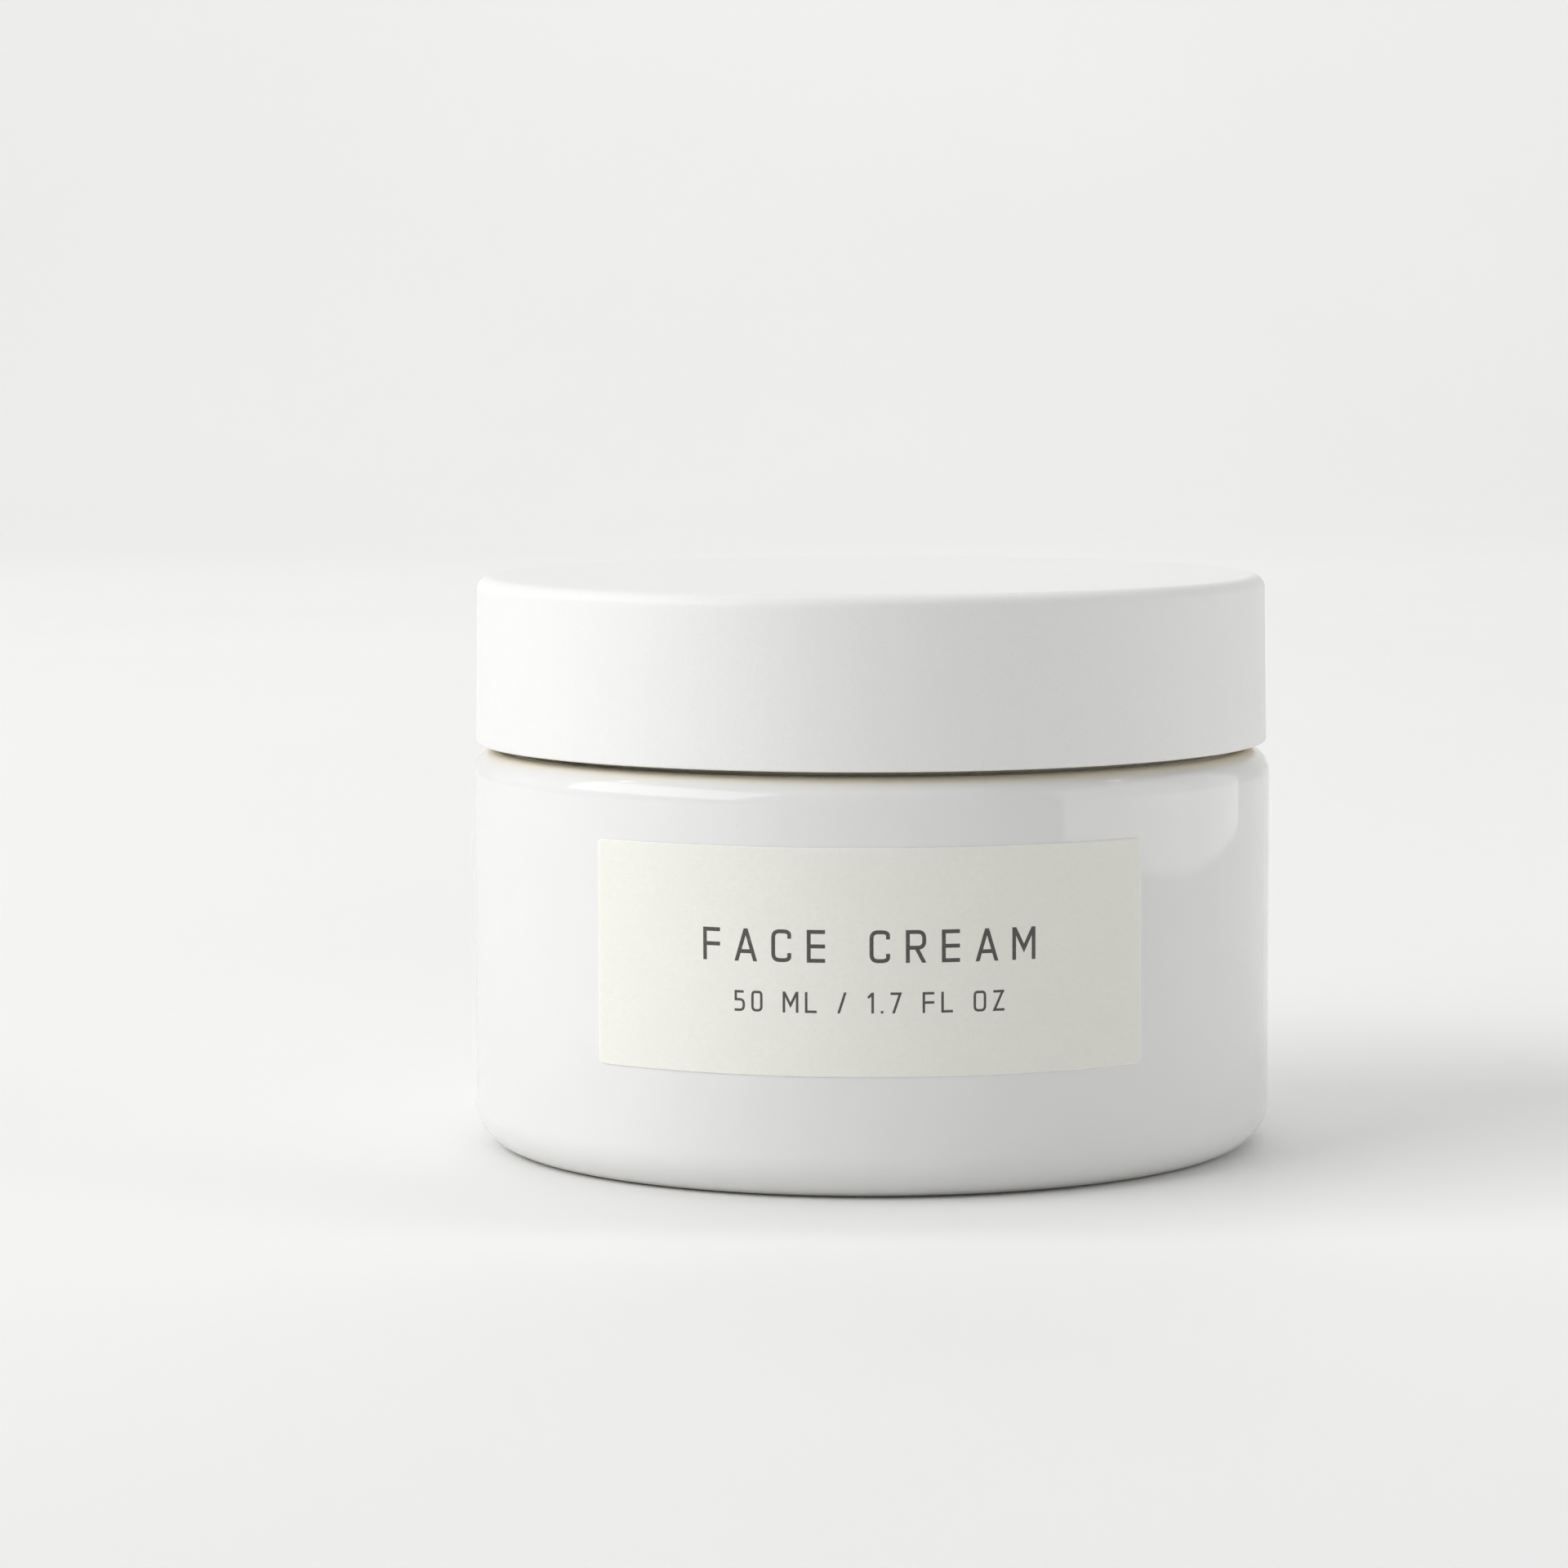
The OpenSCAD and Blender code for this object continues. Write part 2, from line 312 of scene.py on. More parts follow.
def matt_shell():
    """Matt coat of the lid, with an even fine grain, over bare ivory plastic."""
    g = Graph("matt_white_plastic")
    grain = g.noise(7000, 3)
    clouds = g.noise(80, 3)
    color = g.mix(g.spread(grain, 0, 1, 0.35, 0.65), rgb(0.805, 0.803, 0.797),
                  rgb(0.835, 0.833, 0.828))
    color = g.mix(g.spread(clouds, 0, 0.4, 0.35, 0.7), color, rgb(0.81, 0.808, 0.80))
    inside, bare = bare_parts(g)
    color = g.mix(g.calc("MAXIMUM", inside, bare), color, rgb(0.84, 0.77, 0.64))
    rough = g.spread(g.noise(1200, 3), 0.46, 0.56, 0.3, 0.7)
    wave = g.bump(clouds, 0.02 * MM)
    return g.finish(color, rough, g.bump(grain, 0.006 * MM, wave), IOR=1.47)


def moulded(name, low, high, rough_low, rough_high):
    """Plain satin moulding: faint clouds and fine polish marks."""
    g = Graph(name)
    color = g.mix(g.spread(g.noise(120, 3), 0, 1, 0.3, 0.7), low, high)
    rough = g.spread(g.noise(1500, 3), rough_low, rough_high, 0.3, 0.7)
    marks = g.noise(1.0, 2, g.stretched(400, 400, 3500))
    normal = g.bump(marks, 0.0006 * MM, g.bump(g.noise(200, 2), 0.01 * MM))
    return g.finish(color, rough, normal, IOR=1.49)


def soft_ring():
    """Grey silicone with a dull skin, faintly mottled."""
    g = Graph("grey_silicone")
    color = g.mix(g.spread(g.noise(3000, 3), 0, 1, 0.4, 0.7), rgb(0.55, 0.55, 0.53),
                  rgb(0.63, 0.63, 0.61))
    rough = g.spread(g.noise(900, 3), 0.45, 0.65, 0.3, 0.7)
    return g.finish(color, rough, g.bump(g.noise(4000, 2), 0.001 * MM), IOR=1.41)


def foam():
    """Closed-cell liner foam: small cells under a pressed skin."""
    g = Graph("liner_foam")
    cells = g.add("ShaderNodeTexVoronoi", {"Vector": g.place, "Scale": 3200.0})
    cell = cells.outputs["Distance"]
    color = g.mix(g.spread(cell, 0, 1, 0.1, 0.6), rgb(0.80, 0.80, 0.79),
                  rgb(0.86, 0.86, 0.85))
    rough = g.spread(g.noise(900, 3), 0.55, 0.8, 0.3, 0.7)
    return g.finish(color, rough, g.bump(cell, 0.012 * MM))


def paper(name, low, high):
    """Uncoated paper: soft fibres, mottled tone and a toothed surface."""
    g = Graph(name)
    fibres = g.noise(1.0, 4, g.stretched(2200, 2200, 6200))
    cross = g.noise(1.0, 4, g.stretched(6200, 6200, 2400))
    felt = g.calc("MAXIMUM", fibres, cross)
    mottle = g.noise(240, 4)
    color = g.mix(g.spread(felt, 0.1, 0.9, 0.42, 0.72), low, high)
    color = g.mix(g.spread(mottle, 0, 0.5, 0.3, 0.7), color, low)
    rough = g.spread(felt, 0.78, 0.94, 0.4, 0.7)
    under = g.bump(mottle, 0.02 * MM)
    return g.finish(color, rough, g.bump(felt, 0.03 * MM, under), IOR=1.4)


def glue_shadow_line():
    """Grey margin of glue that shows around the paper: its grey is a painted shadow line along
    the label's edge.
    """
    g = Graph("label_glue_shadow_line")
    color = g.mix(g.spread(g.noise(1500, 3), 0, 1, 0.3, 0.7), rgb(0.70, 0.70, 0.66),
                  rgb(0.77, 0.77, 0.735))
    return g.finish(color, g.spread(g.noise(900, 3), 0.3, 0.5, 0.3, 0.7),
                    g.bump(g.noise(2500, 2), 0.01 * MM))


def ink():
    """Dark grey printing ink, a little uneven where the paper's tooth shows."""
    g = Graph("grey_ink")
    worn = g.spread(g.noise(5000, 4), 0, 1, 0.55, 0.8)
    color = g.mix(worn, rgb(0.070, 0.068, 0.060), rgb(0.16, 0.155, 0.14))
    return g.finish(color, g.spread(g.noise(2500, 3), 0.5, 0.7, 0.3, 0.7),
                    g.bump(g.noise(4000, 3), 0.01 * MM))


def plain_floor():
    """Pale studio sweep: nearly even, with a trace of tone."""
    g = Graph("pale_sweep")
    color = g.mix(g.spread(g.noise(3, 2), 0, 1, 0.3, 0.7), rgb(0.84, 0.84, 0.832),
                  rgb(0.86, 0.86, 0.855))
    return g.finish(color, g.spread(g.noise(30, 2), 0.55, 0.65, 0.3, 0.7),
                    g.bump(g.noise(900, 3), 0.01 * MM))


# ---------------------------------------------------------------- jar and labels

def glazed_jar():
    """The jar: rounded heel and shoulder, seat for the collar, hollow foot."""
    foot_out = jar_r - HEEL
    foot_in = foot_out - FOOT_RING
    hollow = base_high.z
    soft, lip, floor_r = 0.5 * MM, 0.8 * MM, 3 * MM
    seat_r = collar_high.x + 0.1 * MM
    seat_z = jar_h - SEAT
    edge = 0.25 * MM
    outline = [(0, hollow), (foot_in - soft - 2 * MM, hollow)]
    outline += arc(foot_in - soft, hollow - soft, soft, 90, 0)
    outline += arc(foot_in + lip, lip, lip, 180, 270)
    outline += [(foot_out - 0.6 * MM, 0)]
    outline += arc(foot_out, HEEL, HEEL, 270, 360, 20)
    outline += [(jar_r, z) for z in steps_between(HEEL + MM, jar_h - SHOULDER - MM, 2 * MM)]
    outline += arc(jar_r - SHOULDER, jar_h - SHOULDER, SHOULDER, 0, 90, 16)
    outline += arc(seat_r + edge, jar_h - edge, edge, 90, 180, 5)
    outline += [(seat_r, seat_z + 0.05 * MM), (seat_r - 0.05 * MM, seat_z)]
    outline += arc(bore_r + edge, seat_z - edge, edge, 90, 180, 5)
    outline += [(bore_r, z) for z in steps_between(seat_z - MM, FLOOR + floor_r + MM, 3 * MM)]
    outline += arc(bore_r - floor_r, FLOOR + floor_r, floor_r, 0, -90, 10)
    outline += [(bore_r - floor_r - 2 * MM, FLOOR), (0, FLOOR)]
    piece = turned("glazed_jar", outline)
    piece.data.materials.append(glaze())
    return stand_for(piece, "outer_jar", "jar")


def label_piece():
    """Front label: a thin sheet around the wall, with rounded corners and edges."""
    corner, bevel, margin = 0.5 * MM, 0.07 * MM, 0.06 * MM
    back, front = jar_r - 0.005 * MM, -label_low.y
    middle_z = (label_low.z + label_high.z) / 2
    half_h = (label_high.z - label_low.z) / 2
    half_a = math.asin(label_high.x / front)
    half_w = half_a * front
    across = 160
    rows = [half_h - corner + corner * math.sin(math.radians(90 * i / 10))
            for i in range(11)]
    rows = [-h for h in reversed(rows)] + steps_between(-half_h + corner, half_h - corner,
                                                        0.8 * MM)[1:-1] + rows

    def layer(r, inset):
        """The vertices of the sheet at radius r, drawn in from its outline."""
        verts = []
        for h in rows:
            high = h * (half_h - inset) / half_h
            past = max(0, abs(h) - (half_h - corner))
            reach = half_w - corner + math.sqrt(max(0, corner ** 2 - past ** 2)) - inset
            for i in range(across + 1):
                a = reach / front * (2 * i / across - 1)
                verts.append((r * math.sin(a), -r * math.cos(a), middle_z + high))
        return verts

    glue_r = jar_r + 0.015 * MM
    sheets = [layer(back, -margin), layer(glue_r, -margin), layer(glue_r, 0),
              layer(front - 0.05 * MM, 0), layer(front, bevel)]
    verts = [v for sheet in sheets for v in sheet]
    wide, tall = across + 1, len(rows)
    rim = ([i for i in range(wide)] + [i * wide + across for i in range(1, tall)]
           + [(tall - 1) * wide + across - i for i in range(1, wide)]
           + [i * wide for i in range(tall - 2, 0, -1)])
    faces = []
    for base in (0, 4 * wide * tall):
        for j in range(tall - 1):
            for i in range(across):
                a = base + j * wide + i
                faces.append((a, a + 1, a + wide + 1, a + wide))
    slots = [0] * len(faces)
    for level in range(4):
        low, high = level * wide * tall, (level + 1) * wide * tall
        for n, a in enumerate(rim):
            b = rim[(n + 1) % len(rim)]
            faces.append((low + a, low + b, high + b, high + a))
            slots.append(2 if level < 2 else 1)
    piece = finish_mesh("front_label_sheet", verts, faces, smooth=False)
    piece.data.materials.append(paper("cream_paper", rgb(0.835, 0.83, 0.765),
                                      rgb(0.88, 0.878, 0.822)))
    # Slot 1, the paper's cut edge: lighter than the face. This is partly the paper's whiter
    # core and partly a painted highlight along the edges.
    piece.data.materials.append(paper("paper_edge_and_highlight", rgb(0.89, 0.89, 0.87),
                                      rgb(0.93, 0.93, 0.915)))
    # Slot 2, the glue margin around the paper: grey, a painted shadow line along the label's
    # edge.
    piece.data.materials.append(glue_shadow_line())
    for face, slot in zip(piece.data.polygons, slots):
        face.material_index = slot
        face.use_smooth = slot == 0
    return stand_for(piece, "front_label", "jar")


STROKE = 0.12               # width of a letter's stroke, in cap heights
BEND = 0.2                  # radius of a letter's rounded corners, in cap heights


def rounded(points):
    """The same line with its inner corners rounded off."""
    line = [points[0]]
    for before, (x, y), after in zip(points, points[1:], points[2:]):
        ends = []
        for other in (before, after):
            side = Vector((other[0] - x, other[1] - y))
            ends.append(Vector((x, y)) + side.normalized() * min(BEND, side.length / 2))
        start, end = ends
        for i in range(9):
            t = i / 8
            at = start * (1 - t) ** 2 + Vector((x, y)) * 2 * t * (1 - t) + end * t ** 2
            line.append((at.x, at.y))
    return line + [points[-1]]


def letter_strokes():
    """Plain drafting capitals on an even grid: strokes in cap heights, and width."""
    left, right, high, mid, low = 0.06, 0.56, 0.94, 0.5, 0.06
    upright = [(left, 0), (left, 1)]

    def loop(far):
        """A closed letter as wide as this."""
        top = ((left + far) / 2, high)
        return rounded([top, (left, high), (left, low), (far, low), (far, high), top])

    return {
        "A": ([[(0.03, 0), (0.33, 1)], [(0.63, 0), (0.33, 1)],
               [(0.12, 0.3), (0.54, 0.3)]], 0.66),
        "C": ([rounded([(right, 0.72), (right, high), (left, high), (left, low),
                        (right, low), (right, 0.28)])], 0.62),
        "E": ([upright, [(left, high), (right, high)], [(left, mid), (right, mid)],
               [(left, low), (right, low)]], 0.6),
        "F": ([upright, [(left, high), (right, high)], [(left, mid), (right, mid)]], 0.58),
        "L": ([upright, [(left, low), (right, low)]], 0.58),
        "M": ([upright, [(left, 1), (0.38, 0.35), (0.70, 1)], [(0.70, 0), (0.70, 1)]], 0.76),
        "O": ([loop(right)], 0.62),
        "R": ([upright, rounded([(left, high), (right, high), (right, 0.46),
                                 (left, 0.46)]), [(0.32, 0.46), (0.56, 0)]], 0.62),
        "Z": ([[(0.04, high), (0.58, high)], [(0.53, 1), (0.07, 0)],
               [(0.04, low), (0.60, low)]], 0.62),
        "0": ([loop(0.5)], 0.56),
        "1": ([[(0.27, 0), (0.27, 1)], [(0.05, 0.74), (0.24, 0.93)]], 0.34),
        "5": ([[(0.5, high), (0.1, high), (0.1, 0.56)],
               rounded([(0.04, 0.56), (0.5, 0.56), (0.5, low), (0.04, low)])], 0.56),
        "7": ([[(0.02, high), (0.54, high)], [(0.50, 1), (0.16, 0)]], 0.56),
        ".": ([[(0.06, 0), (0.06, 0.12)]], 0.12),
        "/": ([[(0.04, 0), (0.36, 1)]], 0.40),
        " ": ([], 0.35),
    }


def ribbon(points, width):
    """Left and right edges of a line of even width, mitred at its bends. An end on the
    foot or cap line is cut level with that line."""
    left, right = [], []
    for i, (x, y) in enumerate(points):
        before = points[max(i - 1, 0)]
        after = points[min(i + 1, len(points) - 1)]
        d1 = Vector((x - before[0], y - before[1]))
        d2 = Vector((after[0] - x, after[1] - y))
        d1 = (d1 if d1.length > 0 else d2).normalized()
        d2 = (d2 if d2.length > 0 else d1).normalized()
        square = Vector((-d1.y, d1.x))
        normal = Vector((-(d1 + d2).y, (d1 + d2).x)).normalized()
        if i in (0, len(points) - 1) and y in (0, 1):
            normal = Vector((math.copysign(1, square.x), 0))
        push = normal * (width / 2 / max(0.35, normal.dot(square)))
        left.append((x + push.x, y + push.y))
        right.append((x - push.x, y - push.y))
    return left, right


def line_of_print(words, height, low_z, width, verts, faces):
    """Adds a line of letters on the label's middle, spread to this width."""
    shapes = letter_strokes()
    own = sum(shapes[c][1] for c in words) * height
    gap = (width - own) / (len(words) - 1)
    face_r = -label_low.y
    levels = (face_r - 0.01 * MM, face_r + 0.006 * MM)
    longest = 0.12              # of a straight part of a stroke, in cap heights
    x = -width / 2
    for c in words:
        strokes, advance = shapes[c]
        for points in strokes:
            dense = []
            for (x0, y0), (x1, y1) in zip(points, points[1:]):
                parts = max(1, round(math.hypot(x1 - x0, y1 - y0) / longest))
                dense += [(x0 + (x1 - x0) * k / parts, y0 + (y1 - y0) * k / parts)
                          for k in range(parts)]
            dense.append(points[-1])
            sides = ribbon(dense, STROKE)
            start = len(verts)
            for (lx, ly), (rx, ry) in zip(*sides):
                for r, (px, py) in ((levels[0], (lx, ly)), (levels[1], (lx, ly)),
                                    (levels[1], (rx, ry)), (levels[0], (rx, ry))):
                    a = (x + px * height) / face_r
                    verts.append((r * math.sin(a), -r * math.cos(a), low_z + py * height))
            last = start + 4 * (len(dense) - 1)
            for i in range(start, last, 4):
                for k in range(4):
                    n = (k + 1) % 4
                    faces.append((i + k, i + n, i + 4 + n, i + 4 + k))
            faces.append(tuple(range(start, start + 4)))
            faces.append(tuple(range(last, last + 4)))
        x += advance * height + gap


def label_print():
    """Plain generic wording on the label, as thin raised ink: kind and contents."""
    verts, faces = [], []
    height = label_high.z - label_low.z
    line_of_print("FACE CREAM", 2.5 * MM, label_low.z + 0.5 * height, 26 * MM,
                  verts, faces)
    line_of_print("50 ML / 1.7 FL OZ", 1.6 * MM, label_low.z + 0.28 * height, 21 * MM,
                  verts, faces)
    piece = finish_mesh("label_print", verts, faces, smooth=False)
    piece.data.materials.append(ink())
    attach(piece, "jar")
    return piece


def base_sheet():
    """Blank round label in the hollow of the foot."""
    r, z0, z1 = base_high.x, base_low.z, base_high.z - 0.002 * MM
    edge = 0.03 * MM
    outline = [(0, z1), (r - MM, z1), (r, z1)] + arc(r - edge, z0 + edge, edge, 0, -90, 4)
    outline += [(r - MM, z0), (0, z0)]
    piece = turned("base_label_sheet", outline)
    piece.data.materials.append(paper("white_paper", rgb(0.80, 0.80, 0.785),
                                      rgb(0.86, 0.86, 0.85)))
    return stand_for(piece, "base_label", "jar")


# ---------------------------------------------------------------- lid

def lid_skin():
    """Outer shell of the lid: slight draft, rounded top edge, snap bead inside."""
    z0, z1 = lid_low.z, lid_high.z
    in_r, in_z = lid_r - SHELL_WALL, lid_high.z - SHELL_TOP
    top_r = lid_r - LID_DRAFT
    foot = 0.15 * MM
    bead, bead_z = 0.4 * MM, lid_low.z + 0.45 * MM
    outline = [(0, in_z), (in_r - 3 * MM, in_z)] + arc(in_r - 0.4 * MM, in_z - 0.4 * MM,
                                                       0.4 * MM, 90, 0, 5)
    outline += [(in_r, z) for z in steps_between(in_z - MM, bead_z + MM, 2 * MM)]
    outline += arc(in_r + 0.15 * MM, bead_z, bead + 0.15 * MM, 130, 230, 8)
    outline += [(in_r, z0 + 0.12 * MM), (in_r + 0.12 * MM, z0)]
    outline += arc(lid_r - foot, z0 + foot, foot, -90, 0, 6)
    outline += [(lid_r - LID_DRAFT * t, z0 + foot + (z1 - LID_EDGE - z0 - foot) * t)
                for t in (0.04, 0.2, 0.4, 0.6, 0.8, 0.96)]
    outline += arc(top_r - LID_EDGE, z1 - LID_EDGE, LID_EDGE, 0, 90, 16)
    outline += [(top_r - LID_EDGE - MM, z1), (top_r / 2, z1), (0, z1)]
    piece = turned("lid_skin", outline)
    piece.data.materials.append(matt_shell())
    return stand_for(piece, "lid_shell", "lid")


def lid_inner_cap():
    """Threaded insert of the lid, with the bead that keeps the liner in."""
    z0, z1 = insert_low.z, insert_high.z
    out_r, plate_z = insert_in_r + INSERT_WALL, insert_high.z - INSERT_TOP
    bead_z = liner_low.z - 0.35 * MM
    start_z = neck_thread_z - LID_DROP + LEAD * LID_TURN / 360

    def shape(r, z, angle):
        if abs(r - insert_in_r) > 1e-6 or z > bead_z - 0.5 * MM:
            return r
        return r - ridge_height(angle, z, start_z, LID_TURN)

    outline = [(0, plate_z), (insert_in_r - MM, plate_z), (insert_in_r, plate_z)]
    outline += arc(insert_in_r - 0.55 * MM, bead_z, 0.25 * MM, 60, 300, 8)
    outline += [(insert_in_r, z) for z in steps_between(bead_z - 0.4 * MM, z0 + 0.3 * MM,
                                                        0.15 * MM)]
    outline += arc(insert_in_r + 0.2 * MM, z0 + 0.2 * MM, 0.2 * MM, 180, 270, 4)
    outline += [(insert_high.x - 0.3 * MM, z0)]
    outline += arc(insert_high.x - 0.2 * MM, z0 + 0.2 * MM, 0.2 * MM, -90, 0, 4)
    outline += [(insert_high.x, z0 + 0.6 * MM), (insert_high.x - 0.3 * MM, z0 + 0.9 * MM),
                (out_r, z0 + 0.95 * MM), (out_r, z1 - MM)]
    outline += arc(out_r - 0.5 * MM, z1 - 0.5 * MM, 0.5 * MM, 0, 90, 5)
    outline += [(out_r - 2 * MM, z1), (0, z1)]
    piece = turned("lid_inner_cap", outline, shape=shape)
    piece.data.materials.append(moulded("ivory_insert", rgb(0.85, 0.80, 0.70),
                                        rgb(0.88, 0.835, 0.745), 0.3, 0.42))
    return stand_for(piece, "lid_insert", "lid")


def liner():
    """Foam liner, with the groove that the cup's rim presses into it."""
    r, z0, z1 = liner_high.x, liner_low.z, liner_high.z
    rim = neck_r - 0.6 * MM
    press = 0.04 * MM
    edge = 0.2 * MM
    outline = [(0, z0), (rim - 1.2 * MM, z0), (rim - 0.6 * MM, z0 + press),
               (rim + 0.5 * MM, z0 + press), (rim + 0.9 * MM, z0)]
    outline += arc(r - edge, z0 + edge, edge, -90, 0, 4)
    outline += arc(r - edge, z1 - edge, edge, 0, 90, 4)
    outline += [(r - 2 * MM, z1), (0, z1)]
    piece = turned("foam_liner", outline)
    piece.data.materials.append(foam())
    return stand_for(piece, "lid_liner", "liner")


# ---------------------------------------------------------------- refill

def key_columns(half_width, at_r):
    """Angles around the piece, with close pairs at both sides of each of three keys."""
    half = half_width / at_r
    crisp = 0.03 * MM / at_r
    clear = 0.004               # radians without other columns beside a key's side
    angles = [2 * math.pi * i / COLUMNS for i in range(COLUMNS)]
    keys = [math.radians(90 + 120 * k) for k in range(3)]
    near = [k + s * half for k in keys for s in (-1, 1)]
    angles = [a for a in angles
              if all(abs((a - n + math.pi) % (2 * math.pi) - math.pi) > clear for n in near)]
    angles += [(n + s * crisp) % (2 * math.pi) for n in near for s in (-1, 1)]
    return sorted(angles), keys, half


def near_key(angle, keys, half):
    """Whether an angle lies within one of the keys."""
    return any(abs((angle - k + math.pi) % (2 * math.pi) - math.pi) < half for k in keys)


def collar():
    """Collar in the jar's mouth, with a notch for each key of the cup."""
    angles, keys, half = key_columns(KEY_WIDTH / 2 + KEY_PLAY, key_r)
    low, top = collar_low.z, collar_high.z
    out_r, flange_r = bore_r - 0.05 * MM, collar_high.x
    notch_z = top - KEY_HEIGHT - KEY_PLAY

    def shape(r, z, angle):
        inner = r < collar_bore_r + 0.5 * MM
        if inner and z > notch_z and near_key(angle, keys, half):
            return key_r + KEY_PLAY
        return r

    edge = 0.2 * MM
    outline = arc(collar_bore_r + edge, low + edge, edge, 180, 270, 3)
    outline += arc(out_r - edge, low + edge, edge, -90, 0, 3)
    outline += [(out_r, low + MM), (out_r, top - SEAT - 0.03 * MM)]
    outline += [(out_r + 0.03 * MM, top - SEAT), (flange_r - 0.05 * MM, top - SEAT),
                (flange_r, top - SEAT + 0.05 * MM)]
    outline += arc(flange_r - 0.15 * MM, top - 0.15 * MM, 0.15 * MM, 0, 90, 3)
    outline += [(key_r + 0.3 * MM, top), (collar_bore_r + 0.02 * MM, top)]
    outline += [(collar_bore_r, top - 0.05 * MM), (collar_bore_r, notch_z + 0.01 * MM),
                (collar_bore_r, notch_z - 0.01 * MM), (collar_bore_r, low + MM)]
    piece = turned("mouth_collar", outline, loop=True, shape=shape, angles=angles)
    piece.data.materials.append(moulded("ivory_collar", rgb(0.87, 0.825, 0.73),
                                        rgb(0.90, 0.86, 0.775), 0.3, 0.42))
    return stand_for(piece, "cup_collar", "jar")


def cup():
    """Refill cup: round-bottomed well, flange, keys, groove ribs and threaded neck."""
    angles, keys, half = key_columns(KEY_WIDTH / 2, key_r)
    z0, rim = cup_low.z, cup_high.z
    in_r, neck_in = cup_r - CUP_WALL, neck_r - NECK_WALL
    ledge_r, ledge_z = neck_r - 1.2 * MM, cup_high.z - LEDGE
    ring_z = (ring_low.z + ring_high.z) / 2
    ring_half = (ring_high.z - ring_low.z) / 2 + 0.1 * MM
    rib_r = collar_bore_r - 0.3 * MM
    key_z = jar_h - KEY_HEIGHT
    heel = CUP_HEEL + CUP_WALL

    def shape(r, z, angle):
        if abs(r - cup_r) < 1e-6 and z > key_z and near_key(angle, keys, half):
            return key_r
        if abs(r - neck_r) < 1e-6 and z > jar_h + FLANGE:
            return r + ridge_height(angle, z, neck_thread_z, 0)
        return r

    outline = [(0, z0), (cup_r - heel - 2 * MM, z0)]
    outline += arc(cup_r - heel, z0 + heel, heel, -90, 0, 16)
    for middle in (ring_z - ring_half - RIB / 2, ring_z + ring_half + RIB / 2):
        outline += [(cup_r, middle - RIB / 2 - 0.05 * MM)]
        outline += arc(rib_r - 0.15 * MM, middle - RIB / 2 + 0.15 * MM, 0.15 * MM, -90, 0, 3)
        outline += arc(rib_r - 0.15 * MM, middle + RIB / 2 - 0.15 * MM, 0.15 * MM, 0, 90, 3)
        outline += [(cup_r, middle + RIB / 2 + 0.05 * MM)]
    outline += [(cup_r, key_z - 0.01 * MM), (cup_r, key_z + 0.01 * MM),
                (cup_r, jar_h - 0.02 * MM), (key_r + 0.1 * MM, jar_h)]
    outline += arc(cup_high.x - 0.1 * MM, jar_h + 0.1 * MM, 0.1 * MM, -90, 0, 3)
    outline += arc(cup_high.x - 0.2 * MM, jar_h + FLANGE - 0.2 * MM, 0.2 * MM, 0, 90, 4)
    outline += arc(neck_r + 0.3 * MM, jar_h + FLANGE + 0.3 * MM, 0.3 * MM, 270, 180, 4)
    outline += [(neck_r, z) for z in steps_between(jar_h + FLANGE + 0.45 * MM,
                                                   rim - 0.5 * MM, 0.15 * MM)]
    outline += arc(neck_r - 0.4 * MM, rim - 0.4 * MM, 0.4 * MM, 0, 90, 6)
    outline += arc(ledge_r + 0.2 * MM, rim - 0.2 * MM, 0.2 * MM, 90, 180, 4)
    outline += [(ledge_r, ledge_z + 0.05 * MM), (ledge_r - 0.05 * MM, ledge_z)]
    outline += arc(neck_in + 0.15 * MM, ledge_z - 0.15 * MM, 0.15 * MM, 90, 180, 4)
    outline += [(neck_in, ledge_z - MM), (neck_in, jar_h + 1.5 * MM),
                (neck_in, jar_h + 0.6 * MM), (neck_in - 0.1 * MM, jar_h + 0.3 * MM),
                (in_r + 0.1 * MM, jar_h - 2.8 * MM), (in_r, jar_h - 3.2 * MM)]
    floor_z = z0 + CUP_WALL
    outline += [(in_r, z) for z in steps_between(jar_h - 4.2 * MM, floor_z + CUP_HEEL + MM,
                                                 3 * MM)]
    outline += arc(in_r - CUP_HEEL, floor_z + CUP_HEEL, CUP_HEEL, 0, -90, 16)
    outline += [(in_r - CUP_HEEL - 2 * MM, floor_z), (0, floor_z)]
    piece = turned("refill_cup_body", outline, shape=shape, angles=angles)
    piece.data.materials.append(moulded("white_refill", rgb(0.84, 0.835, 0.81),
                                        rgb(0.88, 0.875, 0.85), 0.3, 0.4))
    return stand_for(piece, "refill_cup", "cup")


def ring():
    """Soft ring around the cup, with the fine parting line of its mould."""
    section = (ring_high.z - ring_low.z) / 2
    middle_r, middle_z = ring_high.x - section, (ring_high.z + ring_low.z) / 2
    outline = arc(middle_r, middle_z, section, 0, 345, 23)
    flash = 0.03 * MM
    outline[0] = (outline[0][0] + flash, outline[0][1])
    piece = turned("grip_ring", outline, loop=True)
    piece.data.materials.append(soft_ring())
    return stand_for(piece, "cup_ring", "cup")


